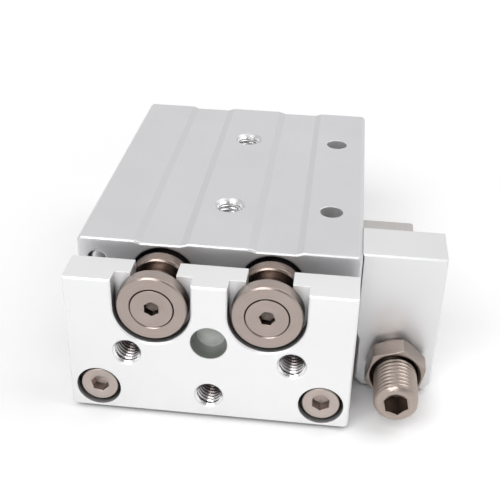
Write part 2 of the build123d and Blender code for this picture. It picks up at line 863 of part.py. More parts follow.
def stroke_stopper():
    inner = table_width / 2
    stopper = box(inner, inner + stopper_width, stopper_front, stopper_front + stopper_length,
                  stopper_lift, stopper_top)
    stopper = chamfer(stopper.edges().filter_by(Axis.Z), stopper_edge)
    for along, z in stopper_screws:
        y = stopper_middle + along
        stopper -= rod_along_x(M3[0] / 2 + shank_play, inner, inner + stopper_width, y, z)
        edge = inner + stopper_width
        seat = edge - M3[2] - head_sink
        stopper -= rod_along_x(M3[1] / 2 + head_play, seat, edge, y, z)
    return stopper


def stopper_screw_set():
    seat = table_width / 2 + stopper_width - M3[2] - head_sink
    screw = cap_screw(M3, stopper_screw_length)
    return [head_right(seat, stopper_middle + along, z) * screw for along, z in stopper_screws]


# All pieces by name

def all_parts():
    parts = {
        "cylinder_body": cylinder_body(),
        "passage_ball": passage_ball(),
        "rear_port_plugs": rear_port_plugs(),
        "end_plate": end_plate(),
        "end_plate_screws": end_plate_screws(),
        "end_bumper": end_bumper(),
        "table": table_plate(),
        "rail_screws": rail_screws(),
        "guide_block": guide_block(),
        "guide_block_screws": guide_block_screws(),
        "cage_stop_front": cage_stop(-1),
        "cage_stop_rear": cage_stop(1),
        "cage_stop_screws": cage_stop_screws(),
        "adjuster_block": adjuster_block(),
        "adjuster_block_screws": adjuster_block_screws(),
        "adjuster_bolt": adjuster_bolt(),
        "adjuster_tip": adjuster_tip(),
        "lock_nut": lock_nut(),
        "stroke_stopper": stroke_stopper(),
        "stopper_screws": stopper_screw_set(),
    }
    front_ring_y = body_front + ring_setback + ring_groove_play
    rear_ring_y = cap_rear + ring_groove_play
    for name, side in sides.items():
        x = side * rod_pitch / 2
        parts["rod_cover_ring_" + name] = retaining_ring(x, front_ring_y)
        parts["rod_cover_" + name] = rod_cover(x)
        parts["rod_cover_oring_" + name] = cover_oring(x)
        parts["rod_seal_" + name] = rod_seal(x)
        parts["rod_bumper_" + name] = rod_bumper(x)
        parts["piston_rod_" + name] = piston_rod(x)
        parts["piston_" + name] = piston(x)
        parts["piston_magnet_" + name] = piston_magnet(x)
        parts["piston_seal_" + name] = piston_seal(x)
        parts["head_cap_" + name] = head_cap(x)
        parts["head_cap_oring_" + name] = head_cap_oring(x)
        parts["head_cap_ring_" + name] = retaining_ring(x, rear_ring_y)
        parts["floating_bushing_" + name] = floating_bushing(x)
        parts["rod_end_screw_" + name] = rod_end_screw(x, rod_screw_turn * side)
        parts["guide_rail_" + name] = guide_rail(side)
        parts["roller_cage_" + name] = roller_cage(side)
        parts["rollers_" + name] = crossed_rollers(side)
    return parts


os.makedirs("parts", exist_ok=True)
for part_name, shape in all_parts().items():
    solids = shape if isinstance(shape, list) else [shape]
    export_step(Compound(children=solids), "parts/" + part_name + ".step")
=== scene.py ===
import json
from collections import namedtuple
from math import cos, pi, radians, sin, sqrt

import bmesh
import bpy
from mathutils import Matrix, Vector


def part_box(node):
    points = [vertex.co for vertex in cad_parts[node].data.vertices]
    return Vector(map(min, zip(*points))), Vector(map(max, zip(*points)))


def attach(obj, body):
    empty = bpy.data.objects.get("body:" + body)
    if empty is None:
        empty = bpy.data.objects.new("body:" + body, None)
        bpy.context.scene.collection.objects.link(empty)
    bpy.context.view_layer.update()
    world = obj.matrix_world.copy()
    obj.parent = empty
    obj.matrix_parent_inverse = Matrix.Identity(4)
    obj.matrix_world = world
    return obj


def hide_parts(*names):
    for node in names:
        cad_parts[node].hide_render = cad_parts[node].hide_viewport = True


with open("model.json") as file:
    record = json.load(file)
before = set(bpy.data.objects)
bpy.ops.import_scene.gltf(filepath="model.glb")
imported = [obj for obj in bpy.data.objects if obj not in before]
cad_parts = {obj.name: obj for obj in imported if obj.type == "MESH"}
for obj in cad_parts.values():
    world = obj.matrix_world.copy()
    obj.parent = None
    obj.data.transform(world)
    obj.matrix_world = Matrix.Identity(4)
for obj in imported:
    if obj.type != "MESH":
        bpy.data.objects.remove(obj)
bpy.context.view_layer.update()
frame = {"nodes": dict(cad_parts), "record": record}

# Slide table cylinder on a white studio floor. The CAD nodes are dressed as they are, and the small pieces
# seen close up are drawn again with their sockets, threads and chamfers.

MM = 0.001
nodes = frame["nodes"]
scene = bpy.context.scene


# Sizes read from the frame

def centre_of(node):
    low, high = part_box(node)
    return (low + high) / 2


def span_mm(node, axis):
    """Length of a node's box along x, y or z, in millimetres."""
    low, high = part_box(node)
    return (getattr(high, axis) - getattr(low, axis)) / MM


PLATE_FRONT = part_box("end_plate")[0].y
PLATE_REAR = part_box("end_plate")[1].y
BODY_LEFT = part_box("cylinder_body")[0].x
RIGHT_ROD = centre_of("floating_bushing_right")
BOLT = centre_of("adjuster_bolt")
MOUNTS = {mount["name"]: mount for mount in frame["record"]["mounts"]}

# Fastener sizes in millimetres, with sockets across their flats
CapScrew = namedtuple("CapScrew", "head_d head_h thread_d length socket")
PLATE_SCREW = CapScrew(head_d=6.9, head_h=4.0, thread_d=4.0, length=8.0, socket=3.0)
BLOCK_SCREW = CapScrew(head_d=7.0, head_h=4.0, thread_d=4.0, length=18.0, socket=3.0)
STOPPER_SCREW = CapScrew(head_d=5.5, head_h=3.0, thread_d=3.0, length=15.0, socket=2.5)
FlatScrew = namedtuple("FlatScrew", "head_d thread_d socket socket_depth")
ROD_END_SCREW = FlatScrew(head_d=7.5, thread_d=4.0, socket=2.5, socket_depth=1.5)
M5_RADIUS = 2.5
M5_MINOR = 2.15
M5_PITCH = 0.8
M8_RADIUS = 4.0
M8_FINE_PITCH = 1.0
M8_THREAD_DEPTH = 0.24
M8_SOCKET = 4.0
NUT_FLATS = 10.0
CLEARANCE = 0.005      # keeps a skin clear of the CAD wall behind it


# Node helpers for materials

def new_group(name, inputs, outputs):
    """An empty node group with named sockets. Inputs are (name, kind, default)."""
    group = bpy.data.node_groups.new(name, "ShaderNodeTree")
    for label, kind, default in inputs:
        socket = group.interface.new_socket(label, in_out="INPUT", socket_type=kind)
        socket.default_value = default
    for label, kind in outputs:
        group.interface.new_socket(label, in_out="OUTPUT", socket_type=kind)
    start = group.nodes.new("NodeGroupInput")
    end = group.nodes.new("NodeGroupOutput")
    return group, start, end


def add(tree, kind, **settings):
    node = tree.nodes.new(kind)
    for key, value in settings.items():
        setattr(node, key, value)
    return node


def wire(tree, source, target):
    tree.links.new(source, target)


def math_node(tree, operation, first, second=None):
    """The result of one operation on one or two values, each a number or a wire."""
    node = add(tree, "ShaderNodeMath", operation=operation)
    for index, value in enumerate((first, second)):
        if value is None:
            continue
        if isinstance(value, (int, float)):
            node.inputs[index].default_value = value
        else:
            wire(tree, value, node.inputs[index])
    return node.outputs[0]


def remap(tree, value, low, high, start=0.0, end=1.0):
    """Spreads a value that runs from start to end between two levels."""
    node = add(tree, "ShaderNodeMapRange")
    node.inputs["From Min"].default_value = start
    node.inputs["From Max"].default_value = end
    node.inputs["To Min"].default_value = low
    node.inputs["To Max"].default_value = high
    wire(tree, value, node.inputs["Value"])
    return node.outputs["Result"]


def color_mix(tree, first, second, mask):
    """A blend of two colours, each a tone or a wire, by a mask."""
    mix = add(tree, "ShaderNodeMix", data_type="RGBA")
    for key, value in (("A", first), ("B", second)):
        if isinstance(value, tuple):
            mix.inputs[key].default_value = (*value, 1.0)
        else:
            wire(tree, value, mix.inputs[key])
    wire(tree, mask, mix.inputs["Factor"])
    return mix.outputs["Result"]


FLOAT = "NodeSocketFloat"
VECTOR = "NodeSocketVector"


# Shared surface effects

FINE_DETAIL = 3.0
BROAD_DETAIL = 2.0
RAY_SAMPLES = 8
EDGE_STARTS = 0.08     # how far a rounded normal leans before its edge gets a painted highlight
EDGE_FULL = 0.28


def blasted_grain():
    """Fine all-over grain of a blasted and anodised face, and its broad patches."""
    group, start, end = new_group(
        "blasted_grain", [("Scale", FLOAT, 9000.0), ("Patches", FLOAT, 60.0)],
        [("Height", FLOAT), ("Patch", FLOAT)])
    place = add(group, "ShaderNodeTexCoord")
    fine = add(group, "ShaderNodeTexNoise")
    fine.inputs["Detail"].default_value = FINE_DETAIL
    wire(group, place.outputs["Object"], fine.inputs["Vector"])
    wire(group, start.outputs["Scale"], fine.inputs["Scale"])
    broad = add(group, "ShaderNodeTexNoise")
    broad.inputs["Detail"].default_value = BROAD_DETAIL
    wire(group, place.outputs["Object"], broad.inputs["Vector"])
    wire(group, start.outputs["Patches"], broad.inputs["Scale"])
    wire(group, fine.outputs["Fac"], end.inputs["Height"])
    wire(group, broad.outputs["Fac"], end.inputs["Patch"])
    return group


def drawn_lines():
    """Long faint lines that a die leaves along a drawn bar."""
    group, start, end = new_group(
        "drawn_lines", [("Across", FLOAT, 2600.0), ("Along", FLOAT, 14.0)], [("Streak", FLOAT)])
    place = add(group, "ShaderNodeTexCoord")
    scale = add(group, "ShaderNodeCombineXYZ")
    wire(group, start.outputs["Across"], scale.inputs["X"])
    wire(group, start.outputs["Along"], scale.inputs["Y"])
    wire(group, start.outputs["Across"], scale.inputs["Z"])
    stretched = add(group, "ShaderNodeVectorMath", operation="MULTIPLY")
    wire(group, place.outputs["Object"], stretched.inputs[0])
    wire(group, scale.outputs["Vector"], stretched.inputs[1])
    lines = add(group, "ShaderNodeTexNoise")
    lines.inputs["Scale"].default_value = 1.0
    lines.inputs["Detail"].default_value = FINE_DETAIL
    wire(group, stretched.outputs["Vector"], lines.inputs["Vector"])
    wire(group, lines.outputs["Fac"], end.inputs["Streak"])
    return group


def turning_marks():
    """Rings that a lathe tool leaves round an axis along Y. Both sides share one centre."""
    group, start, end = new_group(
        "turning_marks", [("Centre X", FLOAT, 0.0), ("Centre Z", FLOAT, 0.0), ("Rings", FLOAT, 9000.0)],
        [("Ring", FLOAT)])
    place = add(group, "ShaderNodeTexCoord")
    parts = add(group, "ShaderNodeSeparateXYZ")
    wire(group, place.outputs["Object"], parts.inputs["Vector"])
    side = math_node(group, "ABSOLUTE", parts.outputs["X"])
    x = math_node(group, "SUBTRACT", side, start.outputs["Centre X"])
    z = math_node(group, "SUBTRACT", parts.outputs["Z"], start.outputs["Centre Z"])
    x_squared = math_node(group, "MULTIPLY", x, x)
    z_squared = math_node(group, "MULTIPLY", z, z)
    radius = math_node(group, "SQRT", math_node(group, "ADD", x_squared, z_squared))
    across = math_node(group, "ADD", radius, parts.outputs["Y"])
    rings = add(group, "ShaderNodeTexNoise", noise_dimensions="1D")
    rings.inputs["Detail"].default_value = BROAD_DETAIL
    rings.inputs["Scale"].default_value = 1.0
    wire(group, math_node(group, "MULTIPLY", across, start.outputs["Rings"]), rings.inputs["W"])
    wire(group, rings.outputs["Fac"], end.inputs["Ring"])
    return group


def rounded_edges():
    """A normal that rounds sharp edges, and a mask that is 1 on them, for a painted highlight."""
    group, start, end = new_group(
        "rounded_edges", [("Radius", FLOAT, 0.12 * MM)], [("Normal", VECTOR), ("Edge", FLOAT)])
    bevel = add(group, "ShaderNodeBevel", samples=RAY_SAMPLES)
    wire(group, start.outputs["Radius"], bevel.inputs["Radius"])
    plain = add(group, "ShaderNodeNewGeometry")
    match = add(group, "ShaderNodeVectorMath", operation="DOT_PRODUCT")
    wire(group, bevel.outputs["Normal"], match.inputs[0])
    wire(group, plain.outputs["Normal"], match.inputs[1])
    lean = math_node(group, "SUBTRACT", 1.0, match.outputs["Value"])
    wire(group, bevel.outputs["Normal"], end.inputs["Normal"])
    wire(group, remap(group, lean, 0.0, 1.0, EDGE_STARTS, EDGE_FULL), end.inputs["Edge"])
    return group


def crevice_shade():
    """A mask for painted shade: 1 on open faces, falling to 0 down in gaps, sockets and thread roots."""
    group, start, end = new_group(
        "crevice_shade", [("Distance", FLOAT, 1.5 * MM), ("Closed", FLOAT, 0.05), ("Clear", FLOAT, 0.5)],
        [("Open", FLOAT)])
    around = add(group, "ShaderNodeAmbientOcclusion", samples=RAY_SAMPLES)
    wire(group, start.outputs["Distance"], around.inputs["Distance"])
    between = add(group, "ShaderNodeMapRange")
    wire(group, around.outputs["AO"], between.inputs["Value"])
    wire(group, start.outputs["Closed"], between.inputs["From Min"])
    wire(group, start.outputs["Clear"], between.inputs["From Max"])
    wire(group, between.outputs["Result"], end.inputs["Open"])
    return group


GRAIN = blasted_grain()
LINES = drawn_lines()
RINGS = turning_marks()
EDGES = rounded_edges()
CREVICES = crevice_shade()


# Parts of a material

FINE_BUMP = 0.02 * MM
FAINT_BUMP = 0.01 * MM
CUP_BUMP = 0.2 * MM
LINE_RELIEF = 3        # height of the drawn lines, for each part of their streaks
FLANK_STARTS = 0.04    # sideways lean from which a groove's flank gets painted shade
FLANK_FULL = 0.25

# How far a finish strays to the smooth and to the rough side
SATIN_SPREAD = (0.05, 0.06)
STEEL_SPREAD = (0.05, 0.08)
CUT_SPREAD = (0.05, 0.05)
RUBBER_SPREAD = (0.06, 0.06)

# Painted shade in a gap: it darkens within its reach in millimetres, fully below one share of openness and
# not above the other
Gap = namedtuple("Gap", "reach closed clear")
FACE_GAP = Gap(1.6, 0.08, 0.45)
GROUND_GAP = Gap(1.2, 0.05, 0.6)
TURNED_GAP = Gap(1.2, 0.05, 0.8)
ROD_END_GAP = Gap(3.0, 0.15, 0.85)
SCREW_GAP = Gap(1.5, 0.05, 0.75)
BOLT_GAP = Gap(2.0, 0.09, 0.92)
PLATE_THREAD_GAP = Gap(6.0, 0.12, 0.55)
BODY_THREAD_GAP = Gap(4.0, 0.08, 0.50)
BORE_GAP = Gap(4.4, 0.02, 0.32)
CUP_GAP = Gap(3.2, 0.05, 0.45)

# Dark tones of the painted shade down in gaps, sockets and thread roots
ANODISED_GAP_SHADE = (0.012, 0.011, 0.011)
NICKEL_GAP_SHADE = (0.034, 0.023, 0.019)
URETHANE_GAP_SHADE = (0.070, 0.080, 0.070)
# Tones of the painted highlights along sharp edges
EDGE_HIGHLIGHT_WHITE = (0.97, 0.97, 0.97)
NICKEL_EDGE_HIGHLIGHT = (0.92, 0.86, 0.80)


def start_material(name, color, metallic, roughness):
    material = bpy.data.materials.new(name)
    material.use_nodes = True
    tree = material.node_tree
    shader = tree.nodes["Principled BSDF"]
    shader.inputs["Base Color"].default_value = (*color, 1.0)
    shader.inputs["Metallic"].default_value = metallic
    shader.inputs["Roughness"].default_value = roughness
    return material, tree, shader


def place_group(tree, group, **values):
    """One use of a shared effect. An underscore in a value's name stands for a space."""
    node = add(tree, "ShaderNodeGroup", node_tree=group)
    for key, value in values.items():
        node.inputs[key.replace("_", " ")].default_value = value
    return node


def color_with_gaps(tree, shader, tone, shade_tone, gap):
    """The tone with painted shade, which takes it to a dark one down in gaps, as the shader's colour."""
    gaps = place_group(tree, CREVICES, Distance=gap.reach * MM, Closed=gap.closed, Clear=gap.clear)
    wire(tree, color_mix(tree, shade_tone, tone, gaps.outputs["Open"]), shader.inputs["Base Color"])


def vary_roughness(tree, shader, mask, roughness, spread):
    smooth, rough = spread
    wire(tree, remap(tree, mask, roughness - smooth, roughness + rough), shader.inputs["Roughness"])


def bump_to(tree, shader, height, strength, distance, base_normal=None):
    bump = add(tree, "ShaderNodeBump")
    bump.inputs["Strength"].default_value = strength
    bump.inputs["Distance"].default_value = distance
    wire(tree, height, bump.inputs["Height"])
    if base_normal is not None:
        wire(tree, base_normal, bump.inputs["Normal"])
    wire(tree, bump.outputs["Normal"], shader.inputs["Normal"])


def painted_flank_shade(tree):
    """A mask for painted shade, 1 on faces that lean sideways, as the flanks of the drawn grooves do."""
    place = add(tree, "ShaderNodeNewGeometry")
    parts = add(tree, "ShaderNodeSeparateXYZ")
    wire(tree, place.outputs["True Normal"], parts.inputs["Vector"])
    sideways = math_node(tree, "ABSOLUTE", parts.outputs["X"])
    lean = math_node(tree, "MULTIPLY", sideways, parts.outputs["Z"])
    return remap(tree, lean, 0.0, 1.0, FLANK_STARTS, FLANK_FULL)


# Materials

def anodised(name, dark, light, roughness, streaks=0.0, edge_radius=0.2, gap=FACE_GAP, flank=None):
    """Satin anodised aluminium: grain, soft patches, drawing lines, painted highlights on sharp edges,
    painted shade in gaps and, if given a flank tone, painted shade on groove flanks.
    """
    material, tree, shader = start_material(name, light, 0.85, roughness)
    grains = place_group(tree, GRAIN)
    edges = place_group(tree, EDGES, Radius=edge_radius * MM)
    mask = grains.outputs["Patch"]
    height = grains.outputs["Height"]
    if streaks:
        lines = place_group(tree, LINES)
        streak = remap(tree, lines.outputs["Streak"], 1.0 - streaks, 1.0 + streaks)
        mask = math_node(tree, "MULTIPLY", mask, streak)
        raised = math_node(tree, "MULTIPLY", lines.outputs["Streak"], streaks * LINE_RELIEF)
        height = math_node(tree, "ADD", height, raised)
    tone = color_mix(tree, dark, light, mask)
    # Painted highlight along sharp edges
    tone = color_mix(tree, tone, EDGE_HIGHLIGHT_WHITE, edges.outputs["Edge"])
    # Painted shade on groove flanks that lean sideways
    if flank:
        tone = color_mix(tree, tone, flank, painted_flank_shade(tree))
    # Painted shade down in gaps
    color_with_gaps(tree, shader, tone, ANODISED_GAP_SHADE, gap)
    vary_roughness(tree, shader, grains.outputs["Patch"], roughness, SATIN_SPREAD)
    bump_to(tree, shader, height, 0.12, FINE_BUMP, edges.outputs["Normal"])
    return material


def turned_metal(name, dark, light, roughness, centre, edge_radius=0.14, gap=TURNED_GAP):
    """Plated steel with lathe rings round its own axis, thin painted highlights on its edges and painted
    shade in its gaps.
    """
    material, tree, shader = start_material(name, light, 1.0, roughness)
    marks = place_group(tree, RINGS, Centre_X=centre[0], Centre_Z=centre[1])
    edges = place_group(tree, EDGES, Radius=edge_radius * MM)
    grains = place_group(tree, GRAIN, Scale=5000.0, Patches=300.0)
    patch = remap(tree, grains.outputs["Patch"], 0.7, 1.4)
    mask = math_node(tree, "MULTIPLY", marks.outputs["Ring"], patch)
    tone = color_mix(tree, dark, light, mask)
    # Painted highlight along sharp edges
    tone = color_mix(tree, tone, NICKEL_EDGE_HIGHLIGHT, edges.outputs["Edge"])
    # Painted shade down in gaps
    color_with_gaps(tree, shader, tone, NICKEL_GAP_SHADE, gap)
    vary_roughness(tree, shader, marks.outputs["Ring"], roughness, STEEL_SPREAD)
    bump_to(tree, shader, marks.outputs["Ring"], 0.25, FINE_BUMP, edges.outputs["Normal"])
    return material


def ground_steel(name, dark, light, roughness):
    """Steel with the straight lines of a grinding wheel or a press tool."""
    material, tree, shader = start_material(name, light, 1.0, roughness)
    lines = place_group(tree, LINES, Across=5200.0, Along=60.0)
    edges = place_group(tree, EDGES, Radius=0.1 * MM)
    tone = color_mix(tree, dark, light, lines.outputs["Streak"])
    # Painted shade down in gaps and between parts
    color_with_gaps(tree, shader, tone, NICKEL_GAP_SHADE, GROUND_GAP)
    vary_roughness(tree, shader, lines.outputs["Streak"], roughness, STEEL_SPREAD)
    bump_to(tree, shader, lines.outputs["Streak"], 0.15, FAINT_BUMP, edges.outputs["Normal"])
    return material


def cut_thread(name, deep, light, roughness, gap):
    """Bright cut flanks of a tapped hole, with painted shade that darkens them towards its inner end."""
    material, tree, shader = start_material(name, light, 1.0, roughness)
    grains = place_group(tree, GRAIN, Scale=6000.0, Patches=900.0)
    dull = tuple(0.86 * level for level in light)
    # Painted shade deep in the hole
    color_with_gaps(tree, shader, color_mix(tree, dull, light, grains.outputs["Patch"]), deep, gap)
    vary_roughness(tree, shader, grains.outputs["Patch"], roughness, CUT_SPREAD)
    bump_to(tree, shader, grains.outputs["Height"], 0.1, FAINT_BUMP)
    return material


def dull_black(name, dark, light, roughness, metallic=0.0):
    """Black coating, spring steel, rubber or magnet, with a faint grain."""
    material, tree, shader = start_material(name, light, metallic, roughness)
    grains = place_group(tree, GRAIN, Scale=4000.0, Patches=250.0)
    wire(tree, color_mix(tree, dark, light, grains.outputs["Patch"]), shader.inputs["Base Color"])
    vary_roughness(tree, shader, grains.outputs["Patch"], roughness, RUBBER_SPREAD)
    bump_to(tree, shader, grains.outputs["Height"], 0.2, FINE_BUMP)
    return material


def cast_urethane():
    """Grey-green cast urethane, glossy and a little translucent, with painted shade down its cup's wall and
    in its gaps.
    """
    shaded_wall_tone = (0.175, 0.190, 0.170)
    material, tree, shader = start_material("cast_urethane", shaded_wall_tone, 0.0, 0.3)
    grains = place_group(tree, GRAIN, Scale=3000.0, Patches=420.0)
    floor_tone = color_mix(tree, (0.42, 0.43, 0.405), (0.80, 0.81, 0.78), grains.outputs["Patch"])
    # Painted shade: faces turned to the front take the lighter floor tone, the cup's wall the darker one
    place = add(tree, "ShaderNodeNewGeometry")
    facing = add(tree, "ShaderNodeVectorMath", operation="DOT_PRODUCT")
    facing.inputs[1].default_value = (0.0, -1.0, 0.0)
    wire(tree, place.outputs["Normal"], facing.inputs[0])
    front = remap(tree, facing.outputs["Value"], 0.0, 1.0, 0.35, 0.9)
    tone = color_mix(tree, shaded_wall_tone, floor_tone, front)
    # Painted shade down in the cup's gaps
    color_with_gaps(tree, shader, tone, URETHANE_GAP_SHADE, CUP_GAP)
    wire(tree, remap(tree, grains.outputs["Patch"], 0.22, 0.4), shader.inputs["Roughness"])
    bump_to(tree, shader, grains.outputs["Patch"], 0.3, CUP_BUMP)
    shader.inputs["Subsurface Weight"].default_value = 0.2
    shader.inputs["Subsurface Radius"].default_value = (1.0, 1.1, 0.9)
    shader.inputs["Subsurface Scale"].default_value = 1.0 * MM
    shader.inputs["Coat Weight"].default_value = 0.5
    return material


# Axes of the turned pieces, as (x, z)
ROD_AXIS = (abs(RIGHT_ROD.x), RIGHT_ROD.z)
SCREW_AXIS = (abs(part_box("end_plate_screws")[1].x) - PLATE_SCREW.head_d / 2 * MM,
              centre_of("end_plate_screws").z)
BOLT_AXIS = (BOLT.x, BOLT.z)

# The body's flank tone is painted shade on its groove flanks
ANODISED_BODY = anodised(
    "anodised_drawn_body", dark=(0.66, 0.66, 0.675), light=(0.74, 0.74, 0.75), roughness=0.42,
    streaks=0.25, edge_radius=0.35, flank=(0.645, 0.645, 0.655))
ANODISED_PLATE = anodised(
    "anodised_blasted_plate", dark=(0.85, 0.85, 0.852), light=(0.905, 0.905, 0.907), roughness=0.46)
ANODISED_BLOCK = anodised(
    "anodised_blasted_block", dark=(0.77, 0.77, 0.775), light=(0.84, 0.84, 0.845), roughness=0.44)
ANODISED_TABLE = anodised(
    "anodised_milled_table", dark=(0.66, 0.66, 0.67), light=(0.74, 0.74, 0.75), roughness=0.40, streaks=0.2)
# Painted light: a lighter copy of the body's anodising lines the plain holes, and painted shade darkens it
# deep down
BORE_LINING_LIT = anodised(
    "lit_bore_lining", dark=(0.84, 0.84, 0.84), light=(0.92, 0.92, 0.92), roughness=0.40, gap=BORE_GAP)
CUT_PLATE = cut_thread(
    "cut_plate_threads", deep=(0.060, 0.038, 0.036), light=(0.95, 0.95, 0.955), roughness=0.24,
    gap=PLATE_THREAD_GAP)
CUT_BODY = cut_thread(
    "cut_body_threads", deep=(0.050, 0.045, 0.045), light=(0.90, 0.90, 0.91), roughness=0.25,
    gap=BODY_THREAD_GAP)
NICKEL_ROD_END = turned_metal(
    "nickel_turned_rod_end", dark=(0.285, 0.235, 0.21), light=(0.51, 0.43, 0.395), roughness=0.30,
    centre=ROD_AXIS, gap=ROD_END_GAP)
NICKEL_ROD = turned_metal(
    "nickel_turned_rod", dark=(0.22, 0.17, 0.15), light=(0.40, 0.32, 0.28), roughness=0.24, centre=ROD_AXIS)
NICKEL_SCREW = turned_metal(
    "nickel_screw_heads", dark=(0.36, 0.305, 0.28), light=(0.60, 0.52, 0.48), roughness=0.30,
    centre=SCREW_AXIS, gap=SCREW_GAP)
NICKEL_BOLT = turned_metal(
    "nickel_adjuster", dark=(0.25, 0.20, 0.173), light=(0.56, 0.48, 0.43), roughness=0.31,
    centre=BOLT_AXIS, edge_radius=0.06, gap=BOLT_GAP)
NICKEL_NUT = turned_metal(
    "nickel_lock_nut", dark=(0.20, 0.16, 0.138), light=(0.46, 0.39, 0.35), roughness=0.28,
    centre=BOLT_AXIS, edge_radius=0.22, gap=BOLT_GAP)
PISTON_METAL = turned_metal(
    "turned_piston", dark=(0.60, 0.60, 0.61), light=(0.75, 0.75, 0.76), roughness=0.30, centre=ROD_AXIS)
NICKEL_PART = ground_steel(
    "nickel_flat_parts", dark=(0.36, 0.31, 0.28), light=(0.52, 0.46, 0.42), roughness=0.33)
PLATED_STOPPER = ground_steel(
    "plated_stopper", dark=(0.50, 0.475, 0.46), light=(0.62, 0.595, 0.58), roughness=0.40)
BRIGHT_BALL = ground_steel(
    "pressed_steel_ball", dark=(0.62, 0.62, 0.63), light=(0.74, 0.74, 0.75), roughness=0.28)
GROUND_STEEL = ground_steel(
    "ground_hard_steel", dark=(0.42, 0.43, 0.45), light=(0.58, 0.59, 0.61), roughness=0.22)
BLACK_COVER = dull_black(
    "black_anodised_cover", dark=(0.010, 0.010, 0.011), light=(0.028, 0.027, 0.028), roughness=0.38)
BLACK_SPRING = dull_black(
    "black_spring_steel", dark=(0.012, 0.012, 0.013), light=(0.035, 0.034, 0.034), roughness=0.34,
    metallic=0.6)
BLACK_RUBBER = dull_black(
    "black_nitrile", dark=(0.010, 0.010, 0.010), light=(0.022, 0.022, 0.022), roughness=0.55)
MAGNET = dull_black(
    "sintered_magnet", dark=(0.030, 0.028, 0.028), light=(0.060, 0.056, 0.055), roughness=0.5, metallic=0.5)
URETHANE = cast_urethane()

SLOT_MATERIALS = {
    "anodised_body": ANODISED_BODY,
    "anodised_plate": ANODISED_PLATE,
    "anodised_block": ANODISED_BLOCK,
    "table_aluminium": ANODISED_TABLE,
    "nickel_steel": NICKEL_PART,
    "nickel_screws": NICKEL_SCREW,
    "hardened_steel": GROUND_STEEL,
    "chromed_rod": NICKEL_ROD,
    "black_cover": BLACK_COVER,
    "black_spring_steel": BLACK_SPRING,
    "seal_rubber": BLACK_RUBBER,
    "soft_urethane": URETHANE,
    "piston_aluminium": PISTON_METAL,
    "magnet": MAGNET,
}
NODE_MATERIALS = {
    "floating_bushing_left": NICKEL_ROD_END,
    "floating_bushing_right": NICKEL_ROD_END,
    "stroke_stopper": PLATED_STOPPER,
}
SLOT_OF_NODE = {entry["node"]: entry["material_slot"] for entry in frame["record"]["subparts"]}


def dress(piece, material):
    piece.data.materials.clear()
    piece.data.materials.append(material)


for name, node in nodes.items():
    dress(node, NODE_MATERIALS.get(name, SLOT_MATERIALS[SLOT_OF_NODE[name]]))


# Lofted meshes: rows of points joined one to the next, on an axis of their own

SEGMENTS = 96
THREAD_SEGMENTS = 72
THREAD_STEPS = 8       # rows in one pitch
CREST_SHARE = 0.12
FLANK_SHARE = 0.66


def circle_row(radius, along):
    row = []
    for i in range(SEGMENTS):
        angle = 2 * pi * i / SEGMENTS
        row.append((radius * cos(angle), radius * sin(angle), along))
    return row


def hexagon_radius(across_flats, angle, turn=0.0):
    """Distance from the middle of a hexagon to its side, in one direction."""
    sector = pi / 3
    local = (angle - turn) % sector - sector / 2
    return across_flats / 2 / cos(local)


def hexagon_row(across_flats, along, turn=0.0):
    row = []
    for i in range(SEGMENTS):
        angle = 2 * pi * i / SEGMENTS
        radius = hexagon_radius(across_flats, angle, turn)
        row.append((radius * cos(angle), radius * sin(angle), along))
    return row


def knurled_row(radius, depth, along, teeth=32):
    row = []
    for i in range(SEGMENTS):
        angle = 2 * pi * i / SEGMENTS
        cut = radius - depth * (0.5 + 0.5 * cos(teeth * angle))
        row.append((cut * cos(angle), cut * sin(angle), along))
    return row


def joined_rows(rows, close_first=False, close_last=False):
    """Vertices and faces of a skin over the rows, with the end rows closed to a point if asked."""
    count = len(rows[0])
    verts = [point for row in rows for point in row]
    faces = []
    for r in range(len(rows) - 1):
        for i in range(count):
            j = (i + 1) % count
            faces.append((r * count + i, r * count + j, (r + 1) * count + j, (r + 1) * count + i))
    if close_first:
        verts.append((0, 0, rows[0][0][2]))
        tip = len(verts) - 1
        faces += [(tip, (i + 1) % count, i) for i in range(count)]
    if close_last:
        base = (len(rows) - 1) * count
        verts.append((0, 0, rows[-1][0][2]))
        tip = len(verts) - 1
        faces += [(tip, base + i, base + (i + 1) % count) for i in range(count)]
    return verts, faces


def thread_share(turn_share):
    """How deep the thread's profile is, from 0 on its crest to 1 in its root."""
    from_crest = 2 * min(turn_share, 1 - turn_share)
    return min(max((from_crest - CREST_SHARE) / FLANK_SHARE, 0.0), 1.0)


def thread_skin(crest, root, pitch, start, length, inner=False, count=SEGMENTS):
    """A screw thread as one helical skin, chamfered at 45 degrees at both ends.

    An outer thread starts at its root. An inner one starts at its wide diameter with a plain cone."""
    rows = int(length / pitch * THREAD_STEPS) + 1
    depth = crest - root
    verts = []
    for i in range(count + 1):
        for k in range(-THREAD_STEPS, rows + 1):
            along = pitch * (k / THREAD_STEPS + i / count)
            along = min(max(along, 0.0), length)
            share = thread_share(k % THREAD_STEPS / THREAD_STEPS)
            from_end = min(along, length - along)
            if inner and from_end < depth:
                radius = crest - from_end
            elif inner:
                grown = min((from_end - depth) / pitch * 2, 1.0)
                radius = crest - depth * (1.0 - (1.0 - share) * grown)
            else:
                radius = min(crest - depth * share, root + from_end)
            angle = 2 * pi * i / count
            verts.append((radius * cos(angle), radius * sin(angle), start + along))
    width = rows + 1 + THREAD_STEPS
    faces = []
    for i in range(count):
        for k in range(width - 1):
            a = i * width + k
            b = (i + 1) * width + k
            faces.append((a, b, b + 1, a + 1))
    return verts, faces


def merged(skins):
    verts, faces = [], []
    for more_verts, more_faces in skins:
        base = len(verts)
        verts += more_verts
        faces += [tuple(base + index for index in face) for face in more_faces]
    return verts, faces


# Axes: a piece is drawn with its head at 0 and its length along +Z, in millimetres

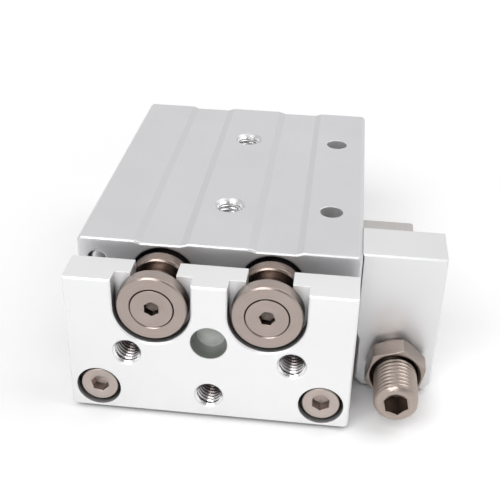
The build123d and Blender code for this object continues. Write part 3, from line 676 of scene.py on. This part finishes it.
INTO_FRONT = Matrix(((1, 0, 0), (0, 0, 1), (0, -1, 0))).to_4x4()      # length runs along +Y
INTO_TOP = Matrix(((1, 0, 0), (0, -1, 0), (0, 0, -1))).to_4x4()       # along -Z
INTO_BOTTOM = Matrix.Identity(4)                                      # along +Z
INTO_LEFT = Matrix(((0, 0, 1), (0, 1, 0), (-1, 0, 0))).to_4x4()       # along +X
INTO_RIGHT = Matrix(((0, 0, -1), (0, 1, 0), (1, 0, 0))).to_4x4()      # along -X


def clean_mesh(mesh, join_distance=1e-7):
    """Joins points that meet, drops flat faces and turns all faces outward."""
    work = bmesh.new()
    work.from_mesh(mesh)
    bmesh.ops.remove_doubles(work, verts=work.verts, dist=join_distance)
    bmesh.ops.dissolve_degenerate(work, edges=work.edges, dist=join_distance)
    bmesh.ops.recalc_face_normals(work, faces=work.faces)
    work.to_mesh(mesh)
    work.free()


def make_piece(name, skins, placings, material, body, sharp=35.0):
    """One object from the skins, repeated at each (turn matrix, place in metres).

    Edges stay sharp above an angle in degrees."""
    verts, faces = merged(skins)
    all_verts, all_faces = [], []
    for turn, place in placings:
        base = len(all_verts)
        for point in verts:
            all_verts.append(turn @ (Vector(point) * MM) + Vector(place))
        all_faces += [tuple(base + index for index in face) for face in faces]
    mesh = bpy.data.meshes.new(name)
    mesh.from_pydata(all_verts, [], all_faces)
    mesh.validate()
    piece = bpy.data.objects.new(name, mesh)
    scene.collection.objects.link(piece)
    clean_mesh(mesh)
    mesh.shade_smooth()
    mesh.set_sharp_from_angle(angle=radians(sharp))
    dress(piece, material)
    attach(piece, body)
    return piece


# Fasteners

SOCKET_SLOPE = 0.58
SOCKET_TIP = 0.35


def socket_rows(across_flats, mouth, depth, along=0.0, turn=0.0):
    """A hexagon socket: its corners reach up into a conical mouth, and a drilled cone ends it."""
    rim = across_flats / sqrt(3) + mouth
    edge = []
    for x, y, z in hexagon_row(across_flats, along, turn):
        edge.append((x, y, z + (rim - sqrt(x * x + y * y)) * SOCKET_SLOPE))
    bottom = along + depth
    return [circle_row(rim, along), edge, hexagon_row(across_flats, bottom, turn),
            circle_row(SOCKET_TIP, bottom + SOCKET_TIP)]


def cap_screw(size, turn=0.0):
    """A socket head screw: knurled head, rounded rim, chamfered socket, plain shank."""
    rim = size.head_d / 2
    head = size.head_h
    shank = size.thread_d / 2
    knurl_depth = 0.14
    point = 0.3
    rows = list(reversed(socket_rows(size.socket, mouth=0.22, depth=head * 0.55, along=0.06, turn=turn)))
    rows += [circle_row(radius, along) for radius, along in (
        (rim - 0.62, 0.05), (rim - 0.36, 0.0), (rim - 0.24, 0.02), (rim - 0.05, 0.18),
        (rim, 0.34), (rim, 0.5))]
    rows += [knurled_row(rim, knurl_depth, 0.6), knurled_row(rim, knurl_depth, head - 0.25)]
    rows += [circle_row(radius, along) for radius, along in (
        (rim - 0.1, head - 0.02), (rim - 0.2, head), (shank, head), (shank, head + size.length - point),
        (shank - point, head + size.length))]
    return joined_rows(rows, close_first=True, close_last=True)


def flat_head_screw(size, length, turn=0.0):
    """A countersunk screw with a thin straight rim."""
    rim = size.head_d / 2
    shank = size.thread_d / 2
    rows = list(reversed(socket_rows(size.socket, mouth=0.1, depth=size.socket_depth, turn=turn)))
    rows += [circle_row(radius, along) for radius, along in (
        (rim - 0.18, 0.0), (rim - 0.05, 0.03), (rim, 0.1), (shank, rim - shank + 0.05), (shank, length))]
    return joined_rows(rows, close_first=True, close_last=True)


def plate_screws():
    low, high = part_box("end_plate_screws")
    x = high.x - PLATE_SCREW.head_d / 2 * MM
    z = centre_of("end_plate_screws").z
    screw = cap_screw(PLATE_SCREW, radians(20))
    piece = make_piece("end_plate_screw_pair", [screw], [
        (INTO_FRONT @ Matrix.Rotation(radians(turn), 4, "Z"), (side * x, low.y, z))
        for side, turn in ((-1, -6), (1, 10))], NICKEL_SCREW, "slide")
    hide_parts("end_plate_screws")


def rod_end_screws():
    for side, turn in (("left", 29), ("right", 8)):
        node = "rod_end_screw_" + side
        middle = centre_of(node)
        screw = flat_head_screw(ROD_END_SCREW, span_mm(node, "y"), radians(turn))
        place = (middle.x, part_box(node)[0].y, middle.z)
        piece = make_piece("countersunk_screw_" + side, [screw], [(INTO_FRONT, place)],
                           NICKEL_ROD_END, "slide")
        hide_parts(node)


def block_screws():
    low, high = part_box("adjuster_block_screws")
    y = centre_of("adjuster_block_screws").y
    reach = BLOCK_SCREW.head_d / 2 * MM
    piece = make_piece("block_screw_pair", [cap_screw(BLOCK_SCREW, radians(10))], [
        (INTO_RIGHT, (high.x, y, low.z + reach)), (INTO_RIGHT, (high.x, y, high.z - reach))],
        NICKEL_SCREW, "cylinder")
    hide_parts("adjuster_block_screws")


def stopper_screws():
    low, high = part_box("stopper_screws")
    reach = STOPPER_SCREW.head_d / 2 * MM
    piece = make_piece("stopper_screw_pair", [cap_screw(STOPPER_SCREW, radians(15))], [
        (INTO_RIGHT, (high.x, low.y + reach, high.z - reach)),
        (INTO_RIGHT, (high.x, high.y - reach, low.z + reach))], NICKEL_SCREW, "slide")
    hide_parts("stopper_screws")


# End bumper, passage ball, adjuster and its nut

def bumper_cup():
    """The soft stop, with a sloping cup in front and a step that holds it in the plate."""
    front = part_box("end_bumper")[0].y
    middle = centre_of("end_bumper")
    length = span_mm("end_bumper", "y")
    flange = span_mm("end_bumper", "x") / 2
    flange_starts = (PLATE_REAR - front) / MM - 2.0
    cup_floor = 2.75
    mouth = 3.22
    outside = 3.27
    rows = [circle_row(radius, along) for radius, along in (
        (1.2, cup_floor - 0.15), (2.1, cup_floor), (2.5, cup_floor), (2.65, cup_floor - 0.15),
        (mouth - 0.04, 0.1), (mouth, 0.0), (outside, 0.02), (outside, flange_starts),
        (flange, flange_starts), (flange, length - 0.3), (flange - 0.3, length))]
    cup = joined_rows(rows, close_first=True, close_last=True)
    piece = make_piece("end_bumper_cup", [cup], [(INTO_FRONT, (middle.x, front, middle.z))],
                       URETHANE, "slide")
    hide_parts("end_bumper")


def passage_ball():
    """The ball pressed into the air passage, flattened where it meets the face."""
    middle = centre_of("passage_ball")
    radius = span_mm("passage_ball", "x") / 2 - 0.01
    rows = [circle_row(share * radius, along) for share, along in (
        (0.3, 0.03), (0.6, 0.12), (0.85, 0.3), (0.97, 0.5), (1.0, 0.8), (1.0, 2.2), (0.7, 3.0))]
    ball = joined_rows(rows, close_first=True, close_last=True)
    place = (middle.x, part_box("passage_ball")[0].y, middle.z)
    piece = make_piece("pressed_passage_ball", [ball], [(INTO_FRONT, place)], BRIGHT_BALL, "cylinder")
    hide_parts("passage_ball")


def adjuster():
    """The threaded bolt, with a hexagon socket in front and a bore for its soft tip behind."""
    length = span_mm("adjuster_bolt", "y")
    crest = span_mm("adjuster_bolt", "x") / 2
    chamfer = 0.8
    face = crest - chamfer
    root = crest - M8_THREAD_DEPTH
    lead = root - face
    tip_radius = 2.5
    tip_depth = 3.0
    threaded = thread_skin(crest, root, M8_FINE_PITCH, lead, length - 2 * lead)
    socket = list(reversed(socket_rows(M8_SOCKET, mouth=0.18, depth=5.0)))
    front = joined_rows(socket + [
        circle_row(face - 0.06, 0.0), circle_row(face, 0.02), circle_row(root, lead)], close_first=True)
    rear = joined_rows([
        circle_row(root, length - lead), circle_row(face, length), circle_row(tip_radius, length),
        circle_row(tip_radius, length - tip_depth)], close_last=True)
    place = (BOLT.x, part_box("adjuster_bolt")[0].y, BOLT.z)
    piece = make_piece("threaded_adjuster", [threaded, front, rear],
                       [(INTO_FRONT @ Matrix.Rotation(radians(17), 4, "Z"), place)],
                       NICKEL_BOLT, "adjuster", sharp=28)
    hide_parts("adjuster_bolt")


def nut_rim_row(across_flats, along, direction, turn):
    """The curved line where a turned rim cuts the hexagon's corners."""
    rim_slope = 0.42
    rim_radius = across_flats / 2 * 0.985
    row = []
    for i in range(SEGMENTS):
        angle = 2 * pi * i / SEGMENTS
        radius = hexagon_radius(across_flats, angle, turn)
        sink = (radius - rim_radius) * rim_slope
        row.append((radius * cos(angle), radius * sin(angle), along + direction * sink))
    return row


def lock_nut():
    """The hexagon nut, which stands off the block on a round washer face."""
    thickness = span_mm("lock_nut", "y")
    turn = radians(42)
    washer_face = 1.1
    front, rear = -washer_face, thickness - washer_face
    bore = M8_RADIUS + 0.02
    mouth = 4.7
    flat = NUT_FLATS / 2 * 0.97
    thread_starts = front + 0.48
    thread_ends = thickness - 0.4
    outside = joined_rows([
        circle_row(bore, thread_starts), circle_row(mouth, front), circle_row(flat, front),
        nut_rim_row(NUT_FLATS, front, 1, turn), nut_rim_row(NUT_FLATS, rear, -1, turn),
        circle_row(flat, rear), circle_row(NUT_FLATS / 2 * 0.95, thickness),
        circle_row(mouth, thickness), circle_row(bore, thread_ends)])
    wall = joined_rows([circle_row(bore, thread_starts), circle_row(bore, thread_ends)])
    place = (BOLT.x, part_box("lock_nut")[0].y, BOLT.z)
    piece = make_piece("hexagon_lock_nut", [outside, wall], [(INTO_FRONT, place)],
                       NICKEL_NUT, "nut", sharp=28)
    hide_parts("lock_nut")


# Threads and walls inside the open holes

def tapped_thread(name, depth, placings, material, body):
    skin = thread_skin(M5_RADIUS - CLEARANCE, M5_MINOR, M5_PITCH, 0.0, depth, inner=True,
                       count=THREAD_SEGMENTS)
    piece = make_piece(name, [skin], placings, material, body, sharp=25)


def body_threads():
    mount = MOUNTS["body_tapped_holes"]
    half = mount["dims"]["spacing_y_mm"] / 2 * MM
    x, y, z = mount["pos_m"]
    below_face = 0.45 * MM
    depth = 6.4
    tapped_thread("body_threads", depth, [
        (INTO_TOP, (x, y + end * half, z - below_face)) for end in (-1, 1)],
        CUT_BODY, "cylinder")


def plate_threads():
    pair = MOUNTS["end_plate_pair"]
    half = pair["dims"]["spacing_x_mm"] / 2 * MM
    low_hole = MOUNTS["end_plate_low_hole"]["pos_m"]
    z = pair["pos_m"][2]
    front = PLATE_FRONT + 0.2 * MM
    depth = (PLATE_REAR - front) / MM - 0.1
    tapped_thread("end_plate_threads", depth, [
        (INTO_FRONT, (-half, front, z)), (INTO_FRONT, (half, front, z)),
        (INTO_FRONT, (low_hole[0], front, low_hole[2]))],
        CUT_PLATE, "slide")


def table_threads():
    face = MOUNTS["table_holes"]["dims"]
    x, y = face["spacing_x_mm"] / 2 * MM, face["spacing_y_mm"] / 2 * MM
    above_face = 0.2 * MM
    depth = 5.6
    tapped_thread("table_threads", depth, [
        (INTO_BOTTOM, (i * x, j * y, above_face)) for i in (-1, 1) for j in (-1, 1)],
        CUT_BODY, "slide")


def port_threads():
    ports = [MOUNTS[name]["pos_m"] for name in ("front_port", "rear_port")]
    side = BODY_LEFT + 0.2 * MM
    depth = 5.0
    tapped_thread("port_threads", depth, [(INTO_LEFT, (side, y, z)) for _, y, z in ports],
                  CUT_BODY, "cylinder")


def through_hole_walls():
    """Walls at the mouths of the two plain holes, as deep as the light reaches, in a finish lighter than
    the body's that paints light into the holes.
    """
    mount = MOUNTS["body_through_holes"]
    half = mount["dims"]["spacing_y_mm"] / 2 * MM
    x, y, z = mount["pos_m"]
    radius = mount["dims"]["hole_r_mm"] - CLEARANCE
    depth = 8.0
    wall = joined_rows([circle_row(radius, 0.05), circle_row(radius, depth)])
    piece = make_piece("through_hole_walls", [wall], [
        (INTO_TOP, (x, y + end * half, z)) for end in (-1, 1)], BORE_LINING_LIT, "cylinder")


plate_screws()
rod_end_screws()
block_screws()
stopper_screws()
bumper_cup()
passage_ball()
adjuster()
lock_nut()
body_threads()
plate_threads()
table_threads()
port_threads()
through_hole_walls()


# Floor, lamps and camera

FLOOR_REACH = 3.0
NEAR_GLOW = 0.30       # the floor's own light beside the object
FAR_GLOW = 0.82        # and out to its edge, where it turns white
PLAIN_FILL = 0.26
UPPER_WALLS = 0.88
CEILING = 0.30


def seen_rays(tree):
    """1 for rays that show a surface or the world, and 0 for rays that light the object."""
    path = add(tree, "ShaderNodeLightPath")
    seen = math_node(tree, "MAXIMUM", path.outputs["Is Camera Ray"], path.outputs["Is Glossy Ray"])
    return math_node(tree, "MAXIMUM", seen, path.outputs["Is Transmission Ray"])


def white_floor():
    """White card that stays white to its edge and keeps the lamps' shadow near the object, where its glow
    is lower; a painted shadow cuts the glow further close under the object.
    """
    corners = [(x * FLOOR_REACH, y * FLOOR_REACH, 0) for x, y in ((-1, -1), (1, -1), (1, 1), (-1, 1))]
    mesh = bpy.data.meshes.new("studio_floor")
    mesh.from_pydata(corners, [], [(0, 1, 2, 3)])
    floor = bpy.data.objects.new("studio_floor", mesh)
    scene.collection.objects.link(floor)
    material, tree, shader = start_material("white_floor", (0.90, 0.90, 0.905), 0.0, 0.9)
    shader.inputs["Specular IOR Level"].default_value = 0.0
    place = add(tree, "ShaderNodeTexCoord")
    far = add(tree, "ShaderNodeVectorMath", operation="LENGTH")
    wire(tree, place.outputs["Object"], far.inputs[0])
    glow = remap(tree, far.outputs["Value"], NEAR_GLOW, FAR_GLOW, 0.05, 0.60)
    # Painted shadow: the glow drops close under and beside the object
    contact_shadow = place_group(tree, CREVICES, Distance=25 * MM, Closed=0.08, Clear=0.72)
    wire(tree, math_node(tree, "MULTIPLY", glow, contact_shadow.outputs["Open"]), shader.inputs["Emission Color"])
    wire(tree, seen_rays(tree), shader.inputs["Emission Strength"])
    dress(floor, material)


def studio_world():
    """White walls, a darker ceiling on the camera's side, and an even fill on the object."""
    world = bpy.data.worlds.new("studio")
    scene.world = world
    world.use_nodes = True
    tree = world.node_tree
    tree.nodes.clear()
    direction = add(tree, "ShaderNodeTexCoord")
    parts = add(tree, "ShaderNodeSeparateXYZ")
    wire(tree, direction.outputs["Generated"], parts.inputs["Vector"])
    high = remap(tree, parts.outputs["Z"], 0.0, 1.0, 0.30, 0.65)
    front = remap(tree, parts.outputs["Y"], 1.0, 0.0, -0.45, 0.25)
    walls = remap(tree, parts.outputs["Z"], 1.0, UPPER_WALLS, 0.26, 0.45)
    room = remap(tree, math_node(tree, "MULTIPLY", high, front), 1.0, CEILING)
    room = math_node(tree, "MULTIPLY", room, walls)
    seen = seen_rays(tree)
    fill = math_node(tree, "MULTIPLY", math_node(tree, "SUBTRACT", 1.0, seen), PLAIN_FILL)
    strength = math_node(tree, "ADD", fill, math_node(tree, "MULTIPLY", seen, room))
    light = add(tree, "ShaderNodeBackground")
    light.inputs["Color"].default_value = (1.0, 1.0, 1.0, 1.0)
    wire(tree, strength, light.inputs["Strength"])
    out = add(tree, "ShaderNodeOutputWorld")
    wire(tree, light.outputs["Background"], out.inputs["Surface"])


def area_lamp(name, place, target, width, height, power):
    data = bpy.data.lights.new(name, "AREA")
    data.shape = "RECTANGLE"
    data.size = width
    data.size_y = height
    data.energy = power
    lamp = bpy.data.objects.new(name, data)
    scene.collection.objects.link(lamp)
    lamp.location = place
    lamp.rotation_euler = (Vector(target) - Vector(place)).to_track_quat("-Z", "Y").to_euler()


def photo_camera():
    """The photograph's viewpoint, solved from the object's straight edges."""
    data = bpy.data.cameras.new("camera")
    data.lens = 65.48
    data.sensor_width = 36.0
    data.clip_start = 0.01
    camera = bpy.data.objects.new("camera", data)
    scene.collection.objects.link(camera)
    right = Vector((0.9933, 0.1136, 0.0211))
    up = Vector((-0.0758, 0.5030, 0.8610))
    forward = Vector((-0.0872, 0.8568, -0.5082))
    turn = Matrix((right, up, -forward)).transposed().to_4x4()
    right_of_middle = 19.70 * MM
    before_plate = 126.28 * MM
    above_floor = 111.33 * MM
    place = (right_of_middle, PLATE_FRONT - before_plate, above_floor)
    camera.matrix_world = Matrix.Translation(place) @ turn
    scene.camera = camera


white_floor()
studio_world()
area_lamp("front_softbox", (-0.25, -0.62, 0.68), (0, 0, 0.01), width=0.6, height=0.45, power=4.05)
area_lamp("top_softbox", (0.40, 0.05, 0.65), (0, 0, 0), width=0.5, height=0.5, power=1.75)
photo_camera()
scene.view_settings.view_transform = "Standard"
